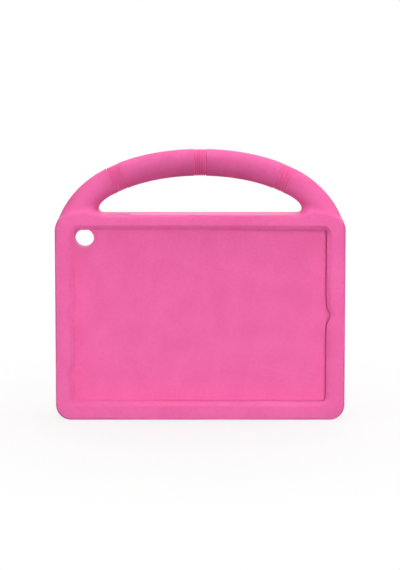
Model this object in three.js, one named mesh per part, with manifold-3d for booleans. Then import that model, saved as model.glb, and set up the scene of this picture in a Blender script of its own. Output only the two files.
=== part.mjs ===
// Foam tablet case: one piece of moulded EVA foam, with a framed window in front, a pocket behind it,
// openings for ports and keys, and an arched carrying handle moulded in one with the body.
//
// Units are millimetres. The case stands on its bottom edge: +X is right, +Y is back, +Z is up,
// and the origin is at the middle of the bottom edge.
// The solids are drawn flat first, with x right, y up and z towards the front, and stood up at the end.

import * as THREE from "three";
import { mergeVertices } from "three/addons/utils/BufferGeometryUtils.js";
import Module from "manifold-3d";

// Pocket, which everything else is built round
const pocketWidth = 240.5;
const pocketHeight = 170;
const pocketDepth = 8;
const pocketCorner = 8;

// Foam round the pocket: side walls, top and bottom walls, front lip and back panel
const sideWall = 10.9;
const topWall = 7.2;
const bottomWall = 10.6;
const lipThickness = 5;
const backThickness = 13;

// Outside of the body
const bodyCorner = 13.7;
const bodyEdgeRounding = 2;

// How far the lip reaches over the pocket, and the flat chamfer round the window that it leaves
const lipOverSides = 5.95;
const lipOverEnds = 6.3;
const windowCorner = 4;
const chamferWidth = 4.2;
const chamferDepth = 2.2;

// Rounded notches in the window's sides: three on the left, one on the right
const leftNotchCount = 3;
const leftNotchPitch = 54.8;
const leftNotchWidth = 20;
const leftNotchDepth = 3;
const rightNotchWidth = 22;
const rightNotchDepth = 3.9;

// Handle: a round foam bar that follows an arch over the body
const handleThickness = 24.2;
const handleDepth = 21;
const handleFlat = 1;
const handleRise = 46.7;
const handleFootInset = 0.3;
const handleFootDrop = 14.6;
const handleLean = 16.9;
const handleHaunchRise = 41.7;
const handleCrownReach = 26.3;
const handHoleCorner = 4;

// Grip bands: fine ribs on the handle, at the crown and to both sides of it
const bandPlaces = [-1, 0, 1];
const bandSpacing = 76.6;
const bandRecess = 0.35;
const grooveCount = 7;
const groovePitch = 1.8;
const grooveWidth = 0.9;
const grooveDepth = 0.85;

// Openings for the lens, the keys, the sound socket and the charging plug
const lensHoleDiameter = 17;
const lensHoleMargin = 7;
const slotHeight = 6;
const plugSlotLength = 58;
const topKeySlotLength = 22;
const topKeySlotMargin = 36;
const sideKeySlotLength = 17;
const sideKeySlotMargin = 14;
const soundHoleMargin = 12;

// Fineness of the round surfaces
const bodyRoundingSteps = 3;
const handleRoundingSteps = 5;
const cornerSteps = 5;
const notchSteps = 10;
const archSteps = 40;
const holeSteps = 24;

// How far a cutting tool runs past what it cuts
const overrun = 2;

const wasm = await Module();
wasm.setup();

// Sizes, heights and levels that several features share
const bodyWidth = pocketWidth + 2 * sideWall;
const bodyHeight = bottomWall + pocketHeight + topWall;
const bodyDepth = lipThickness + pocketDepth + backThickness;
const windowWidth = pocketWidth - 2 * lipOverSides;
const windowHeight = pocketHeight - 2 * lipOverEnds;
const pocketCentre = bottomWall + pocketHeight / 2;
const frontFace = bodyDepth / 2;
const pocketFront = frontFace - lipThickness;
const pocketBack = pocketFront - pocketDepth;
const pocketMiddle = (pocketFront + pocketBack) / 2;

// A closed mesh as a solid for joining and cutting
function solidOf(geometry) {
  const bare = geometry.clone();
  bare.deleteAttribute("normal");
  bare.deleteAttribute("uv");
  const welded = mergeVertices(bare, 1e-4);
  const vertProperties = new Float32Array(welded.attributes.position.array);
  const triVerts = new Uint32Array(welded.index.array);
  return new wasm.Manifold(new wasm.Mesh({ numProp: 3, vertProperties, triVerts }));
}

// A solid as a mesh geometry again
function geometryOf(solid) {
  const mesh = solid.getMesh();
  const geometry = new THREE.BufferGeometry();
  geometry.setAttribute("position", new THREE.BufferAttribute(mesh.vertProperties, 3));
  geometry.setIndex(new THREE.BufferAttribute(mesh.triVerts, 1));
  geometry.computeVertexNormals();
  return geometry;
}

// A straight prism between two levels
function prism(shape, low, high) {
  const options = { depth: high - low, bevelEnabled: false, curveSegments: cornerSteps };
  const geometry = new THREE.ExtrudeGeometry(shape, options);
  geometry.translate(0, 0, low);
  return solidOf(geometry);
}

// A plate centred on its own mid-depth, whose rounded edges reach out past its flat faces' outline
function roundedPlate(faceShape, depth, sideRounding, faceRounding, roundingSteps) {
  const straight = depth - 2 * faceRounding;
  const geometry = new THREE.ExtrudeGeometry(faceShape, {
    depth: straight,
    bevelEnabled: true,
    bevelSize: sideRounding,
    bevelThickness: faceRounding,
    bevelSegments: roundingSteps,
    curveSegments: cornerSteps,
  });
  geometry.translate(0, 0, -straight / 2);
  return solidOf(geometry);
}

function roundedRectangle(width, height, corner, centreX, centreY) {
  const right = centreX + width / 2;
  const left = centreX - width / 2;
  const top = centreY + height / 2;
  const bottom = centreY - height / 2;
  const shape = new THREE.Shape();
  shape.absarc(right - corner, bottom + corner, corner, -Math.PI / 2, 0, false);
  shape.absarc(right - corner, top - corner, corner, 0, Math.PI / 2, false);
  shape.absarc(left + corner, top - corner, corner, Math.PI / 2, Math.PI, false);
  shape.absarc(left + corner, bottom + corner, corner, Math.PI, 1.5 * Math.PI, false);
  shape.closePath();
  return shape;
}

function makeBody() {
  const inset = 2 * bodyEdgeRounding;
  const corner = bodyCorner - bodyEdgeRounding;
  const face = roundedRectangle(bodyWidth - inset, bodyHeight - inset, corner, 0, bodyHeight / 2);
  return roundedPlate(face, bodyDepth, bodyEdgeRounding, bodyEdgeRounding, bodyRoundingSteps);
}

// The right half of the handle's centre line, from its foot inside the body up to the crown
const footX = bodyWidth / 2 - handleThickness / 2 - handleFootInset;
const crownY = bodyHeight + handleRise;
const halfArch = new THREE.CubicBezierCurve(
  new THREE.Vector2(footX, bodyHeight - handleFootDrop),
  new THREE.Vector2(footX - handleLean, bodyHeight + handleHaunchRise),
  new THREE.Vector2(handleCrownReach, crownY),
  new THREE.Vector2(0, crownY),
);

// A point beside the centre line: share runs from the right foot at 0 to the left foot at 1,
// and offset is measured outwards, square to the line
function besideArch(share, offset) {
  const side = share > 0.5 ? -1 : 1;
  const along = side > 0 ? 2 * share : 2 - 2 * share;
  const point = halfArch.getPointAt(along);
  const tangent = halfArch.getTangentAt(along);
  const x = point.x + offset * tangent.y;
  const y = point.y - offset * tangent.x;
  return new THREE.Vector2(side * x, y);
}

// Where the hand hole's corner circle touches the arch, as a share of the centre line
function cornerShare(distance, height) {
  let low = 0;
  let high = 0.5;
  for (let i = 0; i < 40; i += 1) {
    const middle = (low + high) / 2;
    if (besideArch(middle, -distance).y < height) {
      low = middle;
    } else {
      high = middle;
    }
  }
  return low;
}

// The hand hole, widened by the handle's rounding: the arch above, the body's top edge below
// and a round corner at each end
function handHole(rounding) {
  const radius = handHoleCorner + rounding;
  const height = bodyHeight + handHoleCorner;
  const start = cornerShare(handleThickness / 2 + handHoleCorner, height);
  const centre = besideArch(start, -(handleThickness / 2 + handHoleCorner));
  const touch = besideArch(start, 0).sub(centre);
  const angle = Math.atan2(touch.y, touch.x);
  const hole = new THREE.Path();
  const points = [];
  for (let i = 0; i < cornerSteps; i += 1) {
    const turn = -Math.PI / 2 + (angle + Math.PI / 2) * (i / cornerSteps);
    points.push(new THREE.Vector2(centre.x + radius * Math.cos(turn), height + radius * Math.sin(turn)));
  }
  for (let i = 0; i < archSteps / 2; i += 1) {
    const share = start + (0.5 - start) * (i / (archSteps / 2));
    points.push(besideArch(share, -(handleThickness / 2 - rounding)));
  }
  const crown = besideArch(0.5, -(handleThickness / 2 - rounding));
  const mirrored = points.map((point) => new THREE.Vector2(-point.x, point.y)).reverse();
  hole.setFromPoints([...points, crown, ...mirrored]);
  return hole;
}

// The handle with its feet and the bar that joins them inside the body.
// A skin above zero gives the same handle without its outermost layer of that thickness.
function makeHandle(skin) {
  const sideRounding = (handleThickness - handleFlat) / 2;
  const faceRounding = (handleDepth - handleFlat) / 2;
  const points = [];
  for (let i = 0; i <= archSteps; i += 1) {
    points.push(besideArch(i / archSteps, handleFlat / 2));
  }
  const barBottom = bodyHeight - sideRounding - handleThickness / 2;
  points.push(new THREE.Vector2(-footX, barBottom));
  points.push(new THREE.Vector2(footX, barBottom));
  const face = new THREE.Shape(points);
  face.holes.push(handHole(sideRounding));
  const depth = handleDepth - 2 * skin;
  return roundedPlate(face, depth, sideRounding - skin, faceRounding - skin, handleRoundingSteps);
}

// A slab square to the handle's centre line, wide enough to pass the whole bar
function handleSlab(distance, length) {
  const share = 0.5 - distance / (2 * halfArch.getLength());
  const centre = besideArch(share, 0);
  const outward = besideArch(share, 1).sub(centre);
  const across = handleThickness + 2 * overrun;
  const geometry = new THREE.BoxGeometry(length, across, handleDepth + 2 * overrun);
  geometry.rotateZ(Math.atan2(outward.y, outward.x) - Math.PI / 2);
  geometry.translate(centre.x, centre.y, 0);
  return solidOf(geometry);
}

// Each grip band lies a little lower than the handle, and its grooves lie lower again
function cutGripBands(handle) {
  const bandLength = (grooveCount - 1) * groovePitch + grooveWidth;
  const bandCore = makeHandle(bandRecess);
  const grooveCore = makeHandle(grooveDepth);
  let cut = handle;
  for (const place of bandPlaces) {
    const middle = place * bandSpacing;
    cut = cut.subtract(handleSlab(middle, bandLength).subtract(bandCore));
    for (let i = 0; i < grooveCount; i += 1) {
      const distance = middle + (i - (grooveCount - 1) / 2) * groovePitch;
      cut = cut.subtract(handleSlab(distance, grooveWidth).subtract(grooveCore));
    }
  }
  return cut;
}

// One notch of the window's side: a smooth bump outwards, drawn upwards or downwards
function addNotch(points, sideX, centreY, width, depth, upwards) {
  for (let i = 0; i <= notchSteps; i += 1) {
    const along = (i / notchSteps - 0.5) * width * upwards;
    const bulge = depth * Math.cos((Math.PI * along) / width) ** 2;
    points.push(new THREE.Vector2(sideX + Math.sign(sideX) * bulge, centreY + along));
  }
}

function addCorner(points, centreX, centreY, radius, startAngle) {
  for (let i = 0; i <= cornerSteps; i += 1) {
    const turn = startAngle + (Math.PI / 2) * (i / cornerSteps);
    points.push(new THREE.Vector2(centreX + radius * Math.cos(turn), centreY + radius * Math.sin(turn)));
  }
}

function windowShape() {
  const side = windowWidth / 2;
  const top = pocketCentre + windowHeight / 2;
  const bottom = pocketCentre - windowHeight / 2;
  const cornerX = side - windowCorner;
  const points = [];
  addCorner(points, cornerX, bottom + windowCorner, windowCorner, -Math.PI / 2);
  addNotch(points, side, pocketCentre, rightNotchWidth, rightNotchDepth, 1);
  addCorner(points, cornerX, top - windowCorner, windowCorner, 0);
  addCorner(points, -cornerX, top - windowCorner, windowCorner, Math.PI / 2);
  for (let i = 0; i < leftNotchCount; i += 1) {
    const centreY = pocketCentre + ((leftNotchCount - 1) / 2 - i) * leftNotchPitch;
    addNotch(points, -side, centreY, leftNotchWidth, leftNotchDepth, -1);
  }
  addCorner(points, -cornerX, bottom + windowCorner, windowCorner, Math.PI);
  return new THREE.Shape(points);
}

// The window and the chamfer that widens it towards the front face
function windowTool() {
  const shape = windowShape();
  const chamfer = new THREE.ExtrudeGeometry(shape, {
    depth: overrun,
    bevelEnabled: true,
    bevelSize: chamferWidth,
    bevelThickness: chamferDepth,
    bevelSegments: 1,
  });
  chamfer.translate(0, 0, frontFace);
  return prism(shape, pocketMiddle, frontFace + overrun).add(solidOf(chamfer));
}

function pocketTool() {
  const shape = roundedRectangle(pocketWidth, pocketHeight, pocketCorner, 0, pocketCentre);
  return prism(shape, pocketBack, pocketFront);
}

// A round hole through the back panel, in the pocket's upper left corner
function lensTool() {
  const length = frontFace + pocketMiddle + overrun;
  const geometry = new THREE.CylinderGeometry(
    lensHoleDiameter / 2,
    lensHoleDiameter / 2,
    length,
    holeSteps,
  );
  const inset = lensHoleMargin + lensHoleDiameter / 2;
  geometry.rotateX(Math.PI / 2);
  geometry.translate(
    inset - pocketWidth / 2,
    pocketCentre + pocketHeight / 2 - inset,
    pocketMiddle - length / 2,
  );
  return solidOf(geometry);
}

// A slot with round ends through a wall. It starts inside the pocket, and its wall lies along +y.
function slotTool(length, wall) {
  const reach = wall + 2 * overrun;
  const shape = roundedRectangle(length, slotHeight, slotHeight / 2, 0, 0);
  const geometry = new THREE.ExtrudeGeometry(shape, {
    depth: reach,
    bevelEnabled: false,
    curveSegments: cornerSteps,
  });
  geometry.rotateX(-Math.PI / 2);
  geometry.translate(0, -overrun, 0);
  return geometry;
}

function topSlot(length, centreX) {
  const geometry = slotTool(length, topWall);
  geometry.translate(centreX, pocketCentre + pocketHeight / 2, pocketMiddle);
  return solidOf(geometry);
}

function sideSlot(length, side, centreY) {
  const geometry = slotTool(length, sideWall);
  geometry.rotateZ(-side * (Math.PI / 2));
  geometry.translate(side * (pocketWidth / 2), centreY, pocketMiddle);
  return solidOf(geometry);
}

// Keys and sockets stand at measured distances from the pocket's upper left and lower left corners
function portTools() {
  const pocketTop = pocketCentre + pocketHeight / 2;
  const pocketBottom = pocketCentre - pocketHeight / 2;
  const topKeyX = topKeySlotMargin + topKeySlotLength / 2 - pocketWidth / 2;
  const sideKeyY = pocketTop - sideKeySlotMargin - sideKeySlotLength / 2;
  const soundHoleY = pocketBottom + soundHoleMargin;
  return [
    sideSlot(plugSlotLength, 1, pocketCentre),
    topSlot(topKeySlotLength, topKeyX),
    sideSlot(sideKeySlotLength, -1, sideKeyY),
    sideSlot(slotHeight, -1, soundHoleY),
  ];
}

function makeCase() {
  let solid = makeBody().add(cutGripBands(makeHandle(0)));
  const tools = [pocketTool(), windowTool(), lensTool(), ...portTools()];
  for (const tool of tools) {
    solid = solid.subtract(tool);
  }
  return geometryOf(solid);
}

const foam = new THREE.MeshStandardMaterial({ color: "#f069aa", roughness: 0.85, metalness: 0 });

const foamCase = new THREE.Mesh(makeCase(), foam);
foamCase.name = "foam_case";
foamCase.rotation.x = Math.PI / 2;

const group = new THREE.Group();
group.add(foamCase);

export default group;
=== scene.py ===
# %% [markdown]
# # A foam tablet case
#
# The object is one piece of pink EVA foam, pressed in a mould: a thick frame with a window,
# a pocket behind the window, and a round carrying handle that grows out of the two upper corners.
# Three bands of fine grooves on the handle give the hand a grip.
#
# This script dresses a finished construction model. The construction model gives the size and place,
# and the script makes the skin that is seen: soft blends where the handle leaves the body, crisp but
# slightly rounded cuts, and the look of foam.

# %% Load the frame and remember its box
import math

import bmesh
import bpy
import numpy as np
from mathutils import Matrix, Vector


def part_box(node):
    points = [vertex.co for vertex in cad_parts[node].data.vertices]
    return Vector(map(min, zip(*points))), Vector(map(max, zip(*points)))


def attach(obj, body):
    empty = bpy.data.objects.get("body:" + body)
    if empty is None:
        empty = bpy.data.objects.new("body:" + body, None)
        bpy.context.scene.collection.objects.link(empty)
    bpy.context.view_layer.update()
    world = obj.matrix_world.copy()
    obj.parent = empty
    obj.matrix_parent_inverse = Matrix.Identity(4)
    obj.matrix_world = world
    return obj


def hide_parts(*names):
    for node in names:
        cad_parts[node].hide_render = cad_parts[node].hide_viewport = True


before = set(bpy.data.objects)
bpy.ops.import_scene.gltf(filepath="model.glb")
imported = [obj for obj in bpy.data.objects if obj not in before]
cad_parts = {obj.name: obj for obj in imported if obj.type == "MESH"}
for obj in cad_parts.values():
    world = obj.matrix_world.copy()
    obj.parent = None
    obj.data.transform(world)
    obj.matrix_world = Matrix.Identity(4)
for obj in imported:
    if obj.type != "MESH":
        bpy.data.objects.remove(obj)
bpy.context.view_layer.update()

# %% [markdown]
# ## Sizes
#
# Shapes are worked out in millimetres, because that is how a foam mould is drawn, and turned to
# metres when a mesh is made. The overall size is read from the construction model. The rest are the
# sizes of the real case: its walls, its corners and the path of its handle.

# %% Sizes in millimetres
MM = 0.001

case_low, case_high = (np.array(corner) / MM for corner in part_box("foam_case"))
half_width = (case_high[0] - case_low[0]) / 2
half_depth = (case_high[1] - case_low[1]) / 2
crown_top = case_high[2]

bottom_wall = 10.6
body_height = 187.8
body_corner = 13.7
edge_rounding = 2.0

pocket_width = 240.5
pocket_height = 170.0
pocket_depth = 8.0
pocket_corner = 8.0
lip_thickness = 5.0

window_width = 228.6
window_height = 157.4
window_corner = 4.0
chamfer_width = 4.2
chamfer_depth = 2.2

body_middle = body_height / 2
pocket_centre = bottom_wall + pocket_height / 2
pocket_front = lip_thickness - half_depth
pocket_back = pocket_front + pocket_depth
pocket_level = (pocket_front + pocket_back) / 2
print("body", 2 * half_width, "x", 2 * half_depth, "x", body_height, "mm, crown at", round(crown_top, 1))

# %% [markdown]
# ## The camera
#
# The case is seen from the front and from a little above: the strip of its top face shows, and the
# rounding of its bottom edge doesn't. One millimetre of the case is 1.105 pixels on the photograph, so
# the height of the picture is a known height in the scene, and the lens follows from the distance.
# The case gets only a little narrower towards the bottom, which is what a camera far away with a long
# lens gives.

# %% Set the camera in front of the case
picture_height_px = 570
pixels_per_mm = 1.105
camera_rise = math.radians(9)
aim = np.array([-0.2, -8.0, 123.6])
camera_distance = 2600.0
sensor_mm = 36.0

view_height = picture_height_px / pixels_per_mm
camera_data = bpy.data.cameras.new("front_camera")
camera_data.sensor_fit = "VERTICAL"
camera_data.sensor_height = sensor_mm
camera_data.lens = sensor_mm * camera_distance / view_height
camera = bpy.data.objects.new("front_camera", camera_data)
step_back = camera_distance * np.array([0, -math.cos(camera_rise), math.sin(camera_rise)])
camera.location = Vector(aim + step_back) * MM
camera.rotation_euler = (math.pi / 2 - camera_rise, 0, 0)
bpy.context.scene.collection.objects.link(camera)
bpy.context.scene.camera = camera
bpy.context.scene.view_settings.view_transform = "Standard"
print("lens", round(camera_data.lens, 1), "mm for a view", round(view_height, 1), "mm high")

# %% [markdown]
# ## Two helpers for colour and nodes
#
# Colours are picked as sRGB hex values, as in any paint program, but Blender's shaders work with
# linear light, so one function turns a hex value to linear numbers. A second small function adds
# a shader node with its settings, and links or sets its inputs.

# %% Helpers
def linear_colour(hex_value):
    """Turn an sRGB hex value such as "#ff8800" to the linear colour that a shader wants."""
    channels = [int(hex_value[i:i + 2], 16) / 255 for i in (1, 3, 5)]
    linear = [c / 12.92 if c <= 0.04045 else ((c + 0.055) / 1.055) ** 2.4 for c in channels]
    return (*linear, 1.0)


def add_node(tree, kind, settings=None, inputs=None):
    """Add a node to a tree. An input is either a value or the output socket of another node."""
    node = tree.nodes.new(kind)
    for name, value in (settings or {}).items():
        setattr(node, name, value)
    for name, value in (inputs or {}).items():
        if isinstance(value, bpy.types.NodeSocket):
            tree.links.new(value, node.inputs[name])
        else:
            node.inputs[name].default_value = value
    return node


print("EVA pink in linear light:", [round(c, 3) for c in linear_colour("#f069aa")])

# %% [markdown]
# ## The studio
#
# The case stands on white, under a wide soft lamp overhead. That lamp draws the pale line along every
# edge that faces up, and lets the round handle fall off from light to dark. A weak lamp in front and
# a low strip with a grid over it, both a little to the right, keep the upright face of the frame at
# its own colour and make the right side of the chamfer darker than the left one. The grid holds
# the strip's light in a narrow sheet, low down, so it leaves the underside of the handle deep. A lamp
# at the back does for the back what those two do for the front.
#
# The world is dim and warm for the case, as if its own pink came back to it from near walls. It is
# white only for what the camera and reflections see. The floor is white to them too, with a little
# real shading near the case, which is where the contact shadow shows. To all other rays it is a dim
# board, so that the case gets little light from below.

# %% Lamps
def add_soft_lamp(name, place, aim, size, power, spread=math.pi):
    """Add a rectangular white lamp that shines from a place to an aim."""
    data = bpy.data.lights.new(name, "AREA")
    data.shape = "RECTANGLE"
    data.size = size[0]
    data.size_y = size[1]
    data.energy = power
    data.spread = spread
    lamp = bpy.data.objects.new(name, data)
    lamp.location = place
    lamp.rotation_euler = (Vector(aim) - Vector(place)).to_track_quat("-Z", "Y").to_euler()
    bpy.context.scene.collection.objects.link(lamp)
    print(name, "gives", power, "W")


add_soft_lamp("overhead_softbox", (0.15, -0.1, 1.35), (0, 0, 0.12), (1.4, 1.1), 15.5)
add_soft_lamp("front_softbox", (0.2, -2.2, 0.6), (0, 0, 0.1), (2.4, 1.2), 16.5)
add_soft_lamp("back_softbox", (0.0, 2.2, 0.7), (0, 0, 0.1), (2.6, 1.2), 36.0)
add_soft_lamp("gridded_strip", (0.08, -1.5, 0.28), (0, 0, 0.07), (1.8, 0.3), 0.8, math.radians(3.8))

# %% World
def seen_directly(tree):
    """Say whether a ray comes from the camera, a reflection or glass."""
    path = add_node(tree, "ShaderNodeLightPath")
    either = add_node(tree, "ShaderNodeMath", {"operation": "MAXIMUM"},
                      {0: path.outputs["Is Camera Ray"], 1: path.outputs["Is Glossy Ray"]})
    return add_node(tree, "ShaderNodeMath", {"operation": "MAXIMUM"},
                    {0: either.outputs[0], 1: path.outputs["Is Transmission Ray"]}).outputs[0]


world_fill = 0.17
world = bpy.data.worlds.new("white_studio")
world.use_nodes = True
world.node_tree.nodes.clear()
fill = add_node(world.node_tree, "ShaderNodeBackground", None,
                {"Color": linear_colour("#ffc6ba"), "Strength": world_fill})
white = add_node(world.node_tree, "ShaderNodeBackground", None,
                 {"Color": linear_colour("#ffffff"), "Strength": 1.0})
chosen = add_node(world.node_tree, "ShaderNodeMixShader", None,
                  {0: seen_directly(world.node_tree), 1: fill.outputs[0], 2: white.outputs[0]})
add_node(world.node_tree, "ShaderNodeOutputWorld", None, {"Surface": chosen.outputs[0]})
bpy.context.scene.world = world
print("the world lights the case at a strength of", world_fill)

# %% Lay the white floor
floor_half_size = 3.0
shadow_share = 0.25
shadow_reach = 0.4

floor_mesh = bpy.data.meshes.new("white_floor")
floor_corners = [(x * floor_half_size, y * floor_half_size, 0) for x, y in
                 ((-1, -1), (1, -1), (1, 1), (-1, 1))]
floor_mesh.from_pydata(floor_corners, [], [(0, 1, 2, 3)])
floor = bpy.data.objects.new("white_floor", floor_mesh)
bpy.context.scene.collection.objects.link(floor)

floor_paint = bpy.data.materials.new("matt_white_board")
floor_paint.use_nodes = True
tree = floor_paint.node_tree
tree.nodes.clear()
dim_board = add_node(tree, "ShaderNodeBsdfDiffuse", None, {"Color": linear_colour("#4c3a3a")})
white_board = add_node(tree, "ShaderNodeBsdfDiffuse", None, {"Color": linear_colour("#e8e8e8")})
glow = add_node(tree, "ShaderNodeEmission", None, {"Color": linear_colour("#ffffff"), "Strength": 1.0})
place = add_node(tree, "ShaderNodeTexCoord")
distance = add_node(tree, "ShaderNodeVectorMath", {"operation": "LENGTH"},
                    {0: place.outputs["Object"]})
shade = add_node(tree, "ShaderNodeMapRange", {"interpolation_type": "SMOOTHSTEP"},
                 {"Value": distance.outputs["Value"], "From Min": 0.0, "From Max": shadow_reach,
                  "To Min": 1 - shadow_share, "To Max": 1.0})
shown = add_node(tree, "ShaderNodeMixShader", None,
                 {0: shade.outputs[0], 1: white_board.outputs[0], 2: glow.outputs[0]})
surface = add_node(tree, "ShaderNodeMixShader", None,
                   {0: seen_directly(tree), 1: dim_board.outputs[0], 2: shown.outputs[0]})
add_node(tree, "ShaderNodeOutputMaterial", None, {"Surface": surface.outputs[0]})
floor_mesh.materials.append(floor_paint)
print("floor is", 2 * floor_half_size, "m wide")

# %% [markdown]
# ## Rough shapes from rings
#
# Every rough solid here is a stack of closed rings of points: the edge of the body shrinks from ring
# to ring, the handle's rings follow an arch, and the tools that cut the window are rings too. So one
# function that skins a stack of rings and caps both ends makes them all.

# %% Skin a stack of rings
def skin_rings(name, rings):
    """Make a closed mesh object through rings of points, in millimetres."""
    count = len(rings[0])
    points = np.concatenate(rings) * MM
    faces = []
    for level in range(len(rings) - 1):
        for i in range(count):
            j = (i + 1) % count
            low, high = level * count, (level + 1) * count
            faces.append((low + i, low + j, high + j, high + i))
    faces.append(tuple(range(count)))
    faces.append(tuple(len(points) - count + i for i in range(count)))
    mesh = bpy.data.meshes.new(name)
    mesh.from_pydata(points.tolist(), [], faces)
    shape = bmesh.new()
    shape.from_mesh(mesh)
    bmesh.ops.recalc_face_normals(shape, faces=shape.faces)
    shape.to_mesh(mesh)
    shape.free()
    piece = bpy.data.objects.new(name, mesh)
    bpy.context.scene.collection.objects.link(piece)
    return piece


def rounded_rectangle(half_w, half_h, corner, middle_z, y, steps=8):
    """A ring of points round a rectangle with round corners, at the level y."""
    ring = []
    for quarter, (side, end) in enumerate(((1, -1), (1, 1), (-1, 1), (-1, -1))):
        start = (quarter - 1) * math.pi / 2
        for i in range(steps + 1):
            turn = start + math.pi / 2 * i / steps
            x = side * (half_w - corner) + corner * math.cos(turn)
            z = end * (half_h - corner) + corner * math.sin(turn)
            ring.append((x, y, middle_z + z))
    return np.array(ring)

# %% [markdown]
# ## The rough body
#
# The body is a rectangular block whose outer edges are rounded. Its rings shrink towards the front
# and the back along a quarter circle.

# %% Rough body
rounding_turns = np.linspace(0, math.pi / 2, 4)
body_rings = []
for face, turns in ((-1, rounding_turns[::-1]), (1, rounding_turns)):
    for turn in turns:
        inset = edge_rounding * (1 - math.cos(turn))
        y = face * (half_depth - edge_rounding + edge_rounding * math.sin(turn))
        body_rings.append(rounded_rectangle(half_width - inset, body_middle - inset,
                                            body_corner - inset, body_middle, y))
rough_body = skin_rings("rough_body", body_rings)
print("rough body has", len(rough_body.data.vertices), "vertices")

# %% [markdown]
# ## The path of the handle
#
# Seen from the front, the handle keeps one thickness all along a smooth arch. Half of that arch is
# one Bezier curve: it starts inside the body's upper corner, leans in, and flattens out at the
# crown. The other half is its mirror image, so a point on the left is measured as if it were on the
# right.
#
# For any point of the foam the script needs two facts: how far the point is from the arch, and how
# far along the arch it lies, counted from the crown. The first shapes the bar, and the second places
# the grip bands.

# %% The arch
handle_half_thickness = 12.1
handle_half_depth = 10.5
handle_half_flat = 0.5
foot_inset = 0.3
foot_sink = 14.6
shoulder_lean = 16.9
shoulder_rise = 41.7
crown_reach = 26.3
arch_samples = 97

foot_x = half_width - handle_half_thickness - foot_inset
foot_z = body_height - foot_sink
crown_z = crown_top - handle_half_thickness
arch_controls = np.array([
    (foot_x, foot_z),
    (foot_x - shoulder_lean, body_height + shoulder_rise),
    (crown_reach, crown_z),
    (0.0, crown_z),
])


def arch_points(count):
    """Points of the right half of the arch, from the foot to the crown, as x and z."""
    t = np.linspace(0, 1, count)[:, None]
    a, b, c, d = arch_controls
    return (1 - t) ** 3 * a + 3 * (1 - t) ** 2 * t * b + 3 * (1 - t) * t ** 2 * c + t ** 3 * d


arch_line = arch_points(arch_samples)
arch_steps = np.diff(arch_line, axis=0)
arch_lengths = np.hypot(arch_steps[:, 0], arch_steps[:, 1])
arch_from_crown = arch_lengths.sum() - np.concatenate([[0], np.cumsum(arch_lengths)])
print("the handle is", round(2 * arch_from_crown[0], 1), "mm long, foot to foot")

# %% Measure from the arch
def measure_from_arch(points, batch=20000):
    """For each point: its distance from the arch, its way along it, and how far outwards it lies."""
    across = np.empty(len(points))
    along = np.empty(len(points))
    outward = np.empty(len(points))
    for start in range(0, len(points), batch):
        part = points[start:start + batch]
        dx = np.abs(part[:, 0])[:, None] - arch_line[None, :-1, 0]
        dz = part[:, 2][:, None] - arch_line[None, :-1, 1]
        share = (dx * arch_steps[:, 0] + dz * arch_steps[:, 1]) / arch_lengths ** 2
        share = np.clip(share, 0, 1)
        off_x = dx - share * arch_steps[:, 0]
        off_z = dz - share * arch_steps[:, 1]
        gap = np.hypot(off_x, off_z)
        nearest = gap.argmin(axis=1)
        rows = np.arange(len(part))
        run = arch_steps[nearest] / arch_lengths[nearest, None]
        across[start:start + batch] = gap[rows, nearest]
        outward[start:start + batch] = off_x[rows, nearest] * run[:, 1] - off_z[rows, nearest] * run[:, 0]
        way = arch_from_crown[nearest] - share[rows, nearest] * arch_lengths[nearest]
        along[start:start + batch] = way * np.where(part[:, 0] < 0, -1, 1)
    return across, along, outward


crown_top_from_arch = measure_from_arch(np.array([[0.0, 0.0, crown_top]]))[0][0]
print("the top of the crown is", round(crown_top_from_arch, 2), "mm from the arch")

# %% [markdown]
# ## The rough handle
#
# The bar's rings are ovals, a little thicker in the plane of the case than from front to back. Each
# oval stands square to the arch.

# %% Rough handle
rings_on_half_arch = 60
points_round_bar = 40

half_arch = arch_points(rings_on_half_arch)
whole_arch = np.concatenate([half_arch, (half_arch * [-1, 1])[-2::-1]])
directions = np.gradient(whole_arch, axis=0)
directions /= np.linalg.norm(directions, axis=1)[:, None]
oval_turns = np.linspace(0, 2 * math.pi, points_round_bar, endpoint=False)
handle_rings = []
for (x, z), (run_x, run_z) in zip(whole_arch, directions):
    outwards = handle_half_thickness * np.cos(oval_turns)
    backwards = handle_half_depth * np.sin(oval_turns)
    handle_rings.append(np.stack([x + outwards * run_z, backwards, z - outwards * run_x], axis=1))
rough_handle = skin_rings("rough_handle", handle_rings)
print("rough handle has", len(rough_handle.data.vertices), "vertices")

# %% [markdown]
# ## One skin over body and handle
#
# In the mould the handle and the body are filled as one, so there is no line between them: the foam
# runs from one into the other in a soft hollow. A boolean union would leave a hard line there. A
# voxel remesh gives one even net of small squares over both, which can then be pulled to any shape.

# %% Fuse the two rough shapes
def apply_modifiers(piece):
    """Replace a piece's mesh by what its modifiers make of it, and remove them."""
    graph = bpy.context.evaluated_depsgraph_get()
    shaped = bpy.data.meshes.new_from_object(piece.evaluated_get(graph))
    rough = piece.data
    piece.modifiers.clear()
    piece.data = shaped
    bpy.data.meshes.remove(rough)


def join_into(piece, other):
    """Add the other piece's faces to a piece, and remove the other."""
    both = bmesh.new()
    both.from_mesh(piece.data)
    both.from_mesh(other.data)
    both.to_mesh(piece.data)
    both.free()
    bpy.data.objects.remove(other)


net_size = 1.0
case = rough_body
case.name = "moulded_foam_case"
join_into(case, rough_handle)
remesh = case.modifiers.new("one_skin", "REMESH")
remesh.mode = "VOXEL"
remesh.voxel_size = net_size * MM
apply_modifiers(case)
print("one skin of", len(case.data.polygons), "squares")

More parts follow.
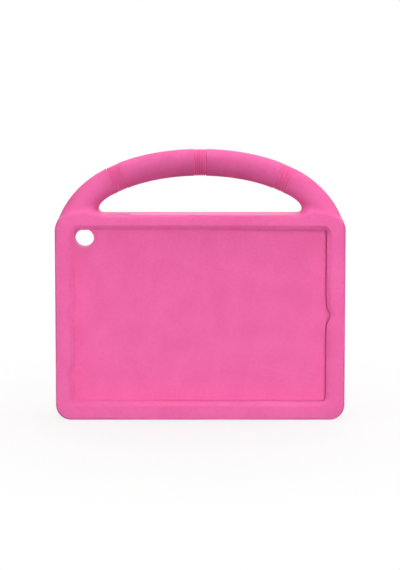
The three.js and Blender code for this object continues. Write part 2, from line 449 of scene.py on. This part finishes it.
# %% [markdown]
# ## Pull the net onto the true surface
#
# The remesh is only near the right shape. The true shape is written as a distance: for any point,
# how far it lies outside the foam, negative inside. A block with round edges and a bar along an arch
# both have such a distance, and a smooth minimum of the two gives the soft hollow where they meet.
#
# Each vertex then steps along the slope of that distance until it is zero. Between steps the net is
# evened out a little, so that its squares stay regular.
#
# How far outwards a point lies on the bar is counted from -1 at the side of the hole to 1 at the
# outer side.
#
# The hollow is wide inside the hand hole, where it makes the hole's round corners, and half as wide
# on the outer half of the bar, where the handle stands on a small ledge at the front and back. It
# fades out on the outside of the arch, where handle and shoulder run into one line anyway, and below
# the shoulders, because the front of the frame is flat right up to its rounded edge. Near its feet
# the bar itself gets a little slimmer on the side of the hole.

# %% Sizes of the hollow and of the slimmer feet
hollow_in_hole = 14.0
hollow_on_ledge = 6.0
hollow_starts_z = body_height - 7
hollow_full_z = body_height - 1
hole_side_starts = -0.3
outer_fade_starts = 0.5
least_hollow = 0.001
foot_slimming = 0.9
slimming_start = 76.0
slimming_end = 94.0
print("the hollow is", hollow_in_hole, "mm wide in the hole and", hollow_on_ledge, "mm on the ledge")

# %% The foam as a distance
def ease(value, low, high):
    """Rise smoothly from 0 at low to 1 at high."""
    share = np.clip((value - low) / (high - low), 0, 1)
    return share * share * (3 - 2 * share)


def body_distance(points):
    """Distance from a block with round corners and round edges."""
    x = np.abs(points[:, 0]) - (half_width - body_corner)
    z = np.abs(points[:, 2] - body_middle) - (body_middle - body_corner)
    outline = np.hypot(np.maximum(x, 0), np.maximum(z, 0)) + np.minimum(np.maximum(x, z), 0)
    side = outline - body_corner + edge_rounding
    face = np.abs(points[:, 1]) - (half_depth - edge_rounding)
    outside = np.hypot(np.maximum(side, 0), np.maximum(face, 0))
    return outside + np.minimum(np.maximum(side, face), 0) - edge_rounding


def handle_distance(points):
    """Distance from the oval bar, close to true near its surface, and how far outwards a point lies."""
    across, along, outward = measure_from_arch(points)
    outward = outward / handle_half_thickness
    slimmer = foot_slimming * ease(np.abs(along), slimming_start, slimming_end) * ease(-outward, 0, 1)
    side_radius = handle_half_thickness - handle_half_flat - slimmer
    face_radius = handle_half_depth - handle_half_flat
    side = np.maximum(across - handle_half_flat, 0) / side_radius
    face = np.maximum(np.abs(points[:, 1]) - handle_half_flat, 0) / face_radius
    return (np.hypot(side, face) - 1) * face_radius, outward


def foam_distance(points):
    """Distance from body and handle together, with a soft hollow between them."""
    distance = body_distance(points)
    high = points[:, 2] > foot_z
    body = distance[high]
    bar, outward = handle_distance(points[high])
    towards_hole = ease(-outward, hole_side_starts, 1.0)
    width = hollow_on_ledge + (hollow_in_hole - hollow_on_ledge) * towards_hole
    width = width * ease(points[high, 2], hollow_starts_z, hollow_full_z)
    width = width * (1 - ease(outward, outer_fade_starts, 1.0)) + least_hollow
    overlap = np.maximum(width - np.abs(body - bar), 0) / width
    distance[high] = np.minimum(body, bar) - overlap * overlap * width / 4
    return distance


middle_of_back = np.array([[0.0, pocket_back, body_middle]])
print("the back wall's inner face lies", round(-foam_distance(middle_of_back)[0], 1), "mm deep")

# %% Read and write the points of a net
def get_points(mesh):
    """All vertices of a mesh in millimetres."""
    flat = np.empty(3 * len(mesh.vertices))
    mesh.vertices.foreach_get("co", flat)
    return flat.reshape(-1, 3) / MM


def set_points(mesh, points):
    """Put the vertices of a mesh at points given in millimetres."""
    mesh.vertices.foreach_set("co", (points * MM).ravel())
    mesh.update()


skin = get_points(case.data)
print("the net has", len(skin), "points")

# %% Slope and steps
least_slope = 0.05


def slope_of_foam(points, probe=0.01):
    """The foam's distance at each point, and its slope there."""
    here = foam_distance(points)
    slope = np.stack([foam_distance(points + probe * np.eye(3)[axis]) - here for axis in range(3)],
                     axis=1) / probe
    return here, slope


def step_to_surface(points, steps):
    """Move points along the slope until the distance is zero."""
    for _ in range(steps):
        here, slope = slope_of_foam(points)
        points = points - slope * (here / np.maximum((slope ** 2).sum(axis=1), least_slope))[:, None]
    return points


def even_out(mesh, points, strength=0.5):
    """Move each point part of the way to the middle of its neighbours."""
    ends = np.empty(2 * len(mesh.edges), dtype=int)
    mesh.edges.foreach_get("vertices", ends)
    first, second = ends.reshape(-1, 2).T
    count = np.bincount(first, minlength=len(points)) + np.bincount(second, minlength=len(points))
    middle = np.empty_like(points)
    for axis in range(3):
        total = np.bincount(first, points[second, axis], len(points))
        total += np.bincount(second, points[first, axis], len(points))
        middle[:, axis] = total / count
    return points + strength * (middle - points)


crown_slope = slope_of_foam(np.array([[0.0, 0.0, crown_top]]))[1][0]
print("the slope at the top of the crown is", [round(float(s), 2) for s in crown_slope])

# %% Step the vertices onto the surface
for _ in range(3):
    skin = step_to_surface(even_out(case.data, skin), 2)
skin = step_to_surface(skin, 2)
print("furthest vertex is", round(float(np.abs(foam_distance(skin)).max()), 4), "mm off the surface")
skin[:, 1] = np.clip(skin[:, 1], -half_depth, half_depth)
skin[:, 0] = np.clip(skin[:, 0], -half_width, half_width)
set_points(case.data, skin)

# %% [markdown]
# ## Flat faces as large faces
#
# The front, the back, the sides and the bottom are flat, and thousands of small squares there say
# nothing. They are merged, which leaves the budget of faces for the handle, and makes the cuts that
# follow clean.
#
# A face can't have a hole in it, though. Blender would join a hole to the rim by an edge, and that
# edge shows as a crease once the rims are softened. So the flat faces are first divided by lines
# through the middle of each opening that will be cut: then every cut only bites into the side of
# a face.

# %% Places of the openings
slot_height = 6.0
lens_diameter = 17.0
lens_margin = 7.0
plug_slot_length = 58.0
top_key_slot_length = 22.0
top_key_margin = 36.0
side_key_slot_length = 17.0
side_key_margin = 14.0
sound_hole_margin = 12.0

lens_x = lens_margin + lens_diameter / 2 - pocket_width / 2
lens_z = pocket_centre + pocket_height / 2 - lens_margin - lens_diameter / 2
top_key_slot_x = top_key_margin + top_key_slot_length / 2 - pocket_width / 2
side_key_slot_z = pocket_centre + pocket_height / 2 - side_key_margin - side_key_slot_length / 2
sound_hole_z = bottom_wall + sound_hole_margin
print("lens hole at", round(lens_x, 1), round(lens_z, 1), "mm")

# %% Merge flat squares, then divide at the openings
flat_angle = math.radians(0.2)
least_area_mm2 = 60


def merge_flat_faces(piece, angle, tolerance=0.002):
    """Merge the faces in each outer plane of the body, then all neighbours that lie in one plane."""
    planes = [(0, half_width), (0, -half_width), (1, half_depth), (1, -half_depth),
              (2, 0.0), (2, body_height)]
    net = bmesh.new()
    net.from_mesh(piece.data)
    for axis, level in planes:
        flat = [face for face in net.faces
                if all(abs(v.co[axis] - level * MM) < tolerance * MM for v in face.verts)]
        bmesh.ops.dissolve_faces(net, faces=flat, use_verts=False)
    bmesh.ops.dissolve_limit(net, angle_limit=angle, use_dissolve_boundaries=False,
                             verts=net.verts, edges=net.edges)
    net.to_mesh(piece.data)
    net.free()


def divide_large_faces(piece, cuts, least_area):
    """Divide the large faces by planes, each given by its axis and level."""
    net = bmesh.new()
    net.from_mesh(piece.data)
    for axis, level in cuts:
        large = [face for face in net.faces if face.calc_area() > least_area * MM * MM]
        edges = {edge for face in large for edge in face.edges}
        verts = {vert for face in large for vert in face.verts}
        place = Vector((0, 0, 0))
        place[axis] = level * MM
        direction = Vector((0, 0, 0))
        direction[axis] = 1
        bmesh.ops.bisect_plane(net, geom=large + list(edges) + list(verts), dist=1e-7,
                               plane_co=place, plane_no=direction)
    net.to_mesh(piece.data)
    net.free()


merge_flat_faces(case, flat_angle)
print("after merging:", len(case.data.polygons), "faces")
divide_large_faces(case, [(0, 0.0), (0, lens_x), (0, top_key_slot_x), (1, pocket_level),
                          (2, pocket_centre), (2, lens_z), (2, side_key_slot_z),
                          (2, sound_hole_z)], least_area_mm2)
print("after dividing:", len(case.data.polygons), "faces")

# %% [markdown]
# ## The window
#
# The window is cut through the front lip. Its edge towards the face is a flat chamfer, and its sides
# have shallow rounded notches, three on the left and one on the right, that give a fingertip room.
# Each notch is one smooth wave, so it has no corners.
#
# The tool for it is a stack of rings again: the window's outline at the depth where the chamfer ends,
# and the same outline grown by the chamfer's width at the face.

# %% Outline of the window
left_notch_length = 20.0
left_notch_depth = 3.0
left_notch_pitch = 54.8
right_notch_length = 22.0
right_notch_depth = 3.9


def notch_points(side, middle_z, width, depth, grow, steps=24):
    """One wave in the window's left or right side, from low to high on the right and back on the left."""
    along = np.linspace(-0.5, 0.5, steps + 1) * width * side
    bulge = depth * np.cos(math.pi * along / width) ** 2
    slope = -math.pi * depth / width * np.sin(2 * math.pi * along / width)
    run = np.hypot(1, slope)
    x = side * (window_width / 2 + bulge + grow / run)
    z = middle_z + along - grow * slope / run
    return np.stack([x, z], axis=1)


def corner_points(side, end, grow, steps=6):
    """A quarter circle at one of the window's corners."""
    quarter = {(1, -1): 0, (1, 1): 1, (-1, 1): 2, (-1, -1): 3}[(side, end)]
    turns = (quarter - 1) * math.pi / 2 + np.linspace(0, math.pi / 2, steps + 1)
    radius = window_corner + grow
    x = side * (window_width / 2 - window_corner) + radius * np.cos(turns)
    z = pocket_centre + end * (window_height / 2 - window_corner) + radius * np.sin(turns)
    return np.stack([x, z], axis=1)


def window_ring(y, grow):
    """The window's outline, grown outwards, as a ring of points at the level y."""
    runs = [corner_points(1, -1, grow),
            notch_points(1, pocket_centre, right_notch_length, right_notch_depth, grow),
            corner_points(1, 1, grow), corner_points(-1, 1, grow)]
    for place in (1, 0, -1):
        runs.append(notch_points(-1, pocket_centre + left_notch_pitch * place,
                                 left_notch_length, left_notch_depth, grow))
    runs.append(corner_points(-1, -1, grow))
    flat = np.concatenate(runs)
    return np.stack([flat[:, 0], np.full(len(flat), y), flat[:, 1]], axis=1)

# %% The window's tool
overrun = 0.5
chamfer_end = chamfer_depth - half_depth
window_tool = skin_rings("window_tool", [
    window_ring(-half_depth - overrun, chamfer_width * (1 + overrun / chamfer_depth)),
    window_ring(chamfer_end, 0),
    window_ring(pocket_front + overrun, 0),
])
print("window tool has", len(window_tool.data.vertices), "vertices")

# %% [markdown]
# ## The pocket and the small openings
#
# Behind the lip, the pocket is wider than the window all round, and the lip overhangs it. There are
# a round hole in the back for a lens, and slots in the walls for keys, sound and a plug. All of them
# are hidden in the photograph, so they are plain.

# %% Slots and holes
overshoot = 2.0


def slot_outline(length, height, steps=8):
    """A flat ring with round ends, lying along its first axis."""
    radius = height / 2
    turns = np.linspace(-math.pi / 2, math.pi / 2, steps + 1)
    end = np.stack([length / 2 - radius + radius * np.cos(turns), radius * np.sin(turns)], axis=1)
    return np.concatenate([end, -end])


def side_slot(name, side, length, middle_z):
    """A slot through the left or right wall."""
    ring = slot_outline(length, slot_height)
    rings = []
    for x in (pocket_width / 2 - overshoot, half_width + overshoot):
        rings.append(np.stack([np.full(len(ring), side * x), pocket_level + ring[:, 1],
                               middle_z + ring[:, 0]], axis=1))
    return skin_rings(name, rings)


def top_slot(name, length, middle_x):
    """A slot through the top wall."""
    ring = slot_outline(length, slot_height)
    rings = []
    for z in (pocket_centre + pocket_height / 2 - overshoot, body_height + overshoot):
        rings.append(np.stack([middle_x + ring[:, 0], pocket_level + ring[:, 1],
                               np.full(len(ring), z)], axis=1))
    return skin_rings(name, rings)


def round_hole(name, diameter, middle_x, middle_z, steps=48):
    """A round hole through the back."""
    turns = np.linspace(0, 2 * math.pi, steps, endpoint=False)
    rings = [np.stack([middle_x + diameter / 2 * np.cos(turns), np.full(steps, y),
                       middle_z + diameter / 2 * np.sin(turns)], axis=1)
             for y in (pocket_level, half_depth + overshoot)]
    return skin_rings(name, rings)


print("each slot is", slot_height, "mm high")

# %% Tools for the pocket and the openings
pocket_tool = skin_rings("pocket_tool", [
    rounded_rectangle(pocket_width / 2, pocket_height / 2, pocket_corner, pocket_centre, pocket_front),
    rounded_rectangle(pocket_width / 2, pocket_height / 2, pocket_corner, pocket_centre, pocket_back),
])
tools = [
    pocket_tool,
    window_tool,
    round_hole("lens_tool", lens_diameter, lens_x, lens_z),
    side_slot("plug_tool", 1, plug_slot_length, pocket_centre),
    top_slot("top_key_tool", top_key_slot_length, top_key_slot_x),
    side_slot("side_key_tool", -1, side_key_slot_length, side_key_slot_z),
    side_slot("sound_tool", -1, slot_height, sound_hole_z),
]
print(len(tools), "cutting tools")

# %% [markdown]
# ## Cut them out
#
# The exact boolean solver is used, because several of these faces lie in one plane or touch along an
# edge. The tools carry a second material, and the faces that they leave behind carry it too. That
# tells the next step which edges are cut edges.

# %% Cut
cut_mark = bpy.data.materials.new("cut_mark")
skin_mark = bpy.data.materials.new("skin_mark")
case.data.materials.clear()
case.data.materials.append(skin_mark)
for tool in tools:
    tool.data.materials.append(cut_mark)
    cut = case.modifiers.new("cut", "BOOLEAN")
    cut.operation = "DIFFERENCE"
    cut.solver = "EXACT"
    cut.material_mode = "TRANSFER"
    cut.object = tool
    apply_modifiers(case)
    bpy.data.objects.remove(tool)
print("after cutting:", len(case.data.polygons), "faces")

# %% [markdown]
# ## Soften the cut edges
#
# A foam mould can't make a knife edge, and a real edge catches a thin line of light. Each outer cut
# edge gets a small bevel of two faces. Inner corners stay as they are.

# %% Bevel
cut_edge_width = 0.5
least_cut_angle = math.radians(20)


def soften_cut_edges(piece, width, least_angle):
    """Bevel each convex edge that a cut made."""
    cut_index = [m.name for m in piece.data.materials].index("cut_mark")
    net = bmesh.new()
    net.from_mesh(piece.data)
    bmesh.ops.remove_doubles(net, verts=net.verts, dist=0.01 * MM)
    bmesh.ops.dissolve_degenerate(net, edges=net.edges, dist=0.01 * MM)
    edges = []
    for edge in net.edges:
        if len(edge.link_faces) != 2:
            continue
        made_by_cut = any(face.material_index == cut_index for face in edge.link_faces)
        if made_by_cut and edge.calc_face_angle_signed() > least_angle:
            edges.append(edge)
    bmesh.ops.bevel(net, geom=edges, offset=width * MM, offset_type="OFFSET", segments=2,
                    profile=0.5, affect="EDGES", clamp_overlap=True)
    for face in net.faces:
        face.material_index = 0
        face.smooth = True
    net.to_mesh(piece.data)
    net.free()
    return len(edges)


softened = soften_cut_edges(case, cut_edge_width, least_cut_angle)
case.data.materials.clear()
print("softened", softened, "edges, now", len(case.data.polygons), "faces")

# %% [markdown]
# ## Grip bands
#
# Three bands of fine grooves lie on the handle: one at the crown and one on each side. In each band
# the foam lies a little lower than the handle, and a few grooves run round it. In the mould they are
# thin ribs, cut across the handle's hollow. On the real case they are less than 2 mm apart, which is
# two pixels. Seven of them would blur into one dark patch, so six are drawn, 2 mm apart.
#
# The net of 1 mm squares is too coarse for that. So the skin of each band is taken out between two
# planes square to the arch, and a new skin is put in, ring by ring. All its rings have the same
# outline, pressed in by a depth that depends only on how far along the arch the ring lies.

# %% Sizes of the bands
band_spacing = 76.6
groove_pitch = 2.0
groove_count = 6
groove_half_width = 0.62
groove_depth = 0.95
band_recess = 0.05
end_ridge = 0.8
band_half_length = (groove_count - 1) * groove_pitch / 2 + end_ridge
band_ramp = 0.2
band_margin = 0.6
points_round_band = 88

# One groove across: how far from its middle, and how deep, as shares of half its width and its depth
groove_section = ((-1, 0), (-0.78, 0.1), (-0.2, 0.93), (0, 1), (0.2, 0.93), (0.78, 0.1), (1, 0))
band_profile = [(-band_half_length - band_margin, 0.0), (-band_half_length - band_ramp, 0.0),
                (-band_half_length, band_recess)]
for number in range(groove_count):
    groove_middle = (number - (groove_count - 1) / 2) * groove_pitch
    band_profile += [(groove_middle + way * groove_half_width, band_recess + share * groove_depth)
                     for way, share in groove_section]
band_profile += [(-way, depth) for way, depth in band_profile[2::-1]]
print("each band has", len(band_profile), "rings of", points_round_band, "points")

# %% Rings of one band
arch_run = np.gradient(arch_line, axis=0)
arch_run /= np.linalg.norm(arch_run, axis=1)[:, None]


def arch_frame(along):
    """The place on the arch at a way along it, and the arch's run there, both as x and z."""
    side = -1 if along < 0 else 1
    place = [np.interp(abs(along), arch_from_crown[::-1], arch_line[::-1, axis]) for axis in (0, 1)]
    run = [np.interp(abs(along), arch_from_crown[::-1], arch_run[::-1, axis]) for axis in (0, 1)]
    return (place[0] * side, place[1]), (run[0], run[1] * side)


def band_rings(middle):
    """The rings of one band: points on the true surface, then pressed in."""
    turns = np.linspace(0, 2 * math.pi, points_round_band, endpoint=False)
    rings = []
    for way, _ in band_profile:
        (x, z), (run_x, run_z) = arch_frame(middle + way)
        outwards = handle_half_thickness * np.cos(turns)
        rings.append(np.stack([x + outwards * run_z, handle_half_depth * np.sin(turns),
                               z - outwards * run_x], axis=1))
    points = step_to_surface(np.concatenate(rings), 3)
    _, slope = slope_of_foam(points)
    slope /= np.linalg.norm(slope, axis=1)[:, None]
    depths = np.repeat([depth for _, depth in band_profile], points_round_band)
    return (points - slope * depths[:, None]).reshape(len(band_profile), points_round_band, 3)


right_band = [round(float(value), 1) for value in arch_frame(band_spacing)[0]]
print("the middle of the right band is at", right_band)

# %% Open the skin and fill it
handle_only_z = body_height + 4


def handle_faces(net, low, high):
    """The faces of the handle whose middles lie between two ways along the arch."""
    faces = [face for face in net.faces if face.calc_center_median().z > handle_only_z * MM]
    middles = np.array([face.calc_center_median() for face in faces]) / MM
    _, along, _ = measure_from_arch(middles)
    return [face for face, way in zip(faces, along) if low < way < high]


def open_band(net, low, high, reach=3.0):
    """Take out the skin between two ways along the arch, and return the two open rims."""
    for end in (low, high):
        place, run = arch_frame(end)
        faces = handle_faces(net, end - reach, end + reach)
        edges = {edge for face in faces for edge in face.edges}
        verts = {vert for face in faces for vert in face.verts}
        bmesh.ops.bisect_plane(net, geom=faces + list(edges) + list(verts), dist=0.001 * MM,
                               plane_co=Vector((place[0], 0, place[1])) * MM,
                               plane_no=Vector((run[0], 0, run[1])))
    bmesh.ops.delete(net, geom=handle_faces(net, low, high), context="FACES")
    rims = [[], []]
    for edge in net.edges:
        if len(edge.link_faces) == 1:
            middle = sum((vert.co for vert in edge.verts), Vector()) / 2 / MM
            _, along, _ = measure_from_arch(np.array([middle]))
            rims[0 if along[0] < (low + high) / 2 else 1].append(edge)
    return rims


def fill_band(net, rims, rings):
    """Skin the rings of a band, and join the first and the last to the open rims."""
    levels = [[net.verts.new(point) for point in ring * MM] for ring in rings]
    for low, high in zip(levels, levels[1:]):
        for i in range(points_round_band):
            net.faces.new((low[i - 1], low[i], high[i], high[i - 1]))
    for rim, level in zip(rims, (levels[0], levels[-1])):
        edges = [net.edges.get((level[i - 1], level[i])) for i in range(points_round_band)]
        bmesh.ops.bridge_loops(net, edges=rim + edges)


print("the handle alone begins", handle_only_z, "mm above the floor")

# %% Put the bands in
net = bmesh.new()
net.from_mesh(case.data)
opening = band_half_length + 2 * band_margin
for middle in (-band_spacing, 0.0, band_spacing):
    fill_band(net, open_band(net, middle - opening, middle + opening), band_rings(middle))
bmesh.ops.recalc_face_normals(net, faces=net.faces)
for face in net.faces:
    face.smooth = True
net.to_mesh(case.data)
net.free()
print("with its bands the case has", len(case.data.polygons), "faces")

# %% [markdown]
# ## Clean shading
#
# Large flat faces meet small curved ones along the same points. Plain smooth shading would average
# them and leave grey smears on the flats. Weighted normals let the large face win, so that flats look
# flat and only the rounded edges turn.

# %% Weighted normals
weighted = case.modifiers.new("clean_shading", "WEIGHTED_NORMAL")
weighted.mode = "FACE_AREA"
weighted.weight = 50
weighted.keep_sharp = False
apply_modifiers(case)
net = bmesh.new()
net.from_mesh(case.data)
open_edges = sum(1 for edge in net.edges if not edge.is_manifold)
print("open or doubled edges:", open_edges, "volume:", round(net.calc_volume() * 1e6, 1), "cubic cm")
net.free()

# %% [markdown]
# ## EVA foam
#
# The case is closed-cell EVA foam, heated and pressed in a mould. The mould leaves a thin skin that is
# matt and slightly cloudy: the pink is a touch lighter and darker in patches of a few millimetres, and
# a very fine grain breaks up the shine. It has no fibres and no gloss coat.
#
# Cloudiness goes into the colour, and the grain into the bump and roughness. The refractive index of
# solid EVA is about 1.48. The skin of the foam is partly pores, so it reflects a little less: it gets
# 1.4 and a low specular level. That matters most on the top of the frame, which is seen at a grazing
# angle and would mirror the white room. The true grain is finer than a tenth of a millimetre, and is
# drawn coarser so that it shows.

# %% Moulded EVA foam
foam = bpy.data.materials.new("moulded_eva_foam")
foam.use_nodes = True
tree = foam.node_tree
tree.nodes.clear()

cloud_size_mm = 25.0
mottle_size_mm = 2.5
grain_size_mm = 0.7

place = add_node(tree, "ShaderNodeTexCoord")
clouds = add_node(tree, "ShaderNodeTexNoise", None,
                  {"Vector": place.outputs["Object"], "Scale": 1 / (cloud_size_mm * MM),
                   "Detail": 2.0, "Roughness": 0.5})
mottle = add_node(tree, "ShaderNodeTexNoise", None,
                  {"Vector": place.outputs["Object"], "Scale": 1 / (mottle_size_mm * MM),
                   "Detail": 3.0, "Roughness": 0.6})
grain = add_node(tree, "ShaderNodeTexNoise", None,
                 {"Vector": place.outputs["Object"], "Scale": 1 / (grain_size_mm * MM),
                  "Detail": 2.0, "Roughness": 0.6})
both = add_node(tree, "ShaderNodeMath", {"operation": "ADD"},
                {0: clouds.outputs["Fac"], 1: mottle.outputs["Fac"]})
share = add_node(tree, "ShaderNodeMapRange", None,
                 {"Value": both.outputs[0], "From Min": 0.8, "From Max": 1.2})
pink = add_node(tree, "ShaderNodeMix", {"data_type": "RGBA"},
                {0: share.outputs[0], 6: linear_colour("#ed65a9"), 7: linear_colour("#f26cb0")})
dull = add_node(tree, "ShaderNodeMapRange", None,
                {"Value": grain.outputs["Fac"], "From Min": 0.3, "From Max": 0.7,
                 "To Min": 0.58, "To Max": 0.7})
pits = add_node(tree, "ShaderNodeBump", None,
                {"Height": grain.outputs["Fac"], "Strength": 0.25, "Distance": 0.1 * MM})
surface = add_node(tree, "ShaderNodeBsdfPrincipled", None,
                   {"Base Color": pink.outputs[2], "Roughness": dull.outputs[0], "IOR": 1.4,
                    "Normal": pits.outputs[0], "Specular IOR Level": 0.3,
                    "Sheen Weight": 0.05, "Sheen Roughness": 0.5})
add_node(tree, "ShaderNodeOutputMaterial", None, {"Surface": surface.outputs[0]})
case.data.materials.append(foam)
print("foam material has", len(tree.nodes), "nodes")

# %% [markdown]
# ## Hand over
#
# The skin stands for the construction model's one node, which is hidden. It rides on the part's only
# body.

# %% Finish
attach(case, "root")
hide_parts("foam_case")
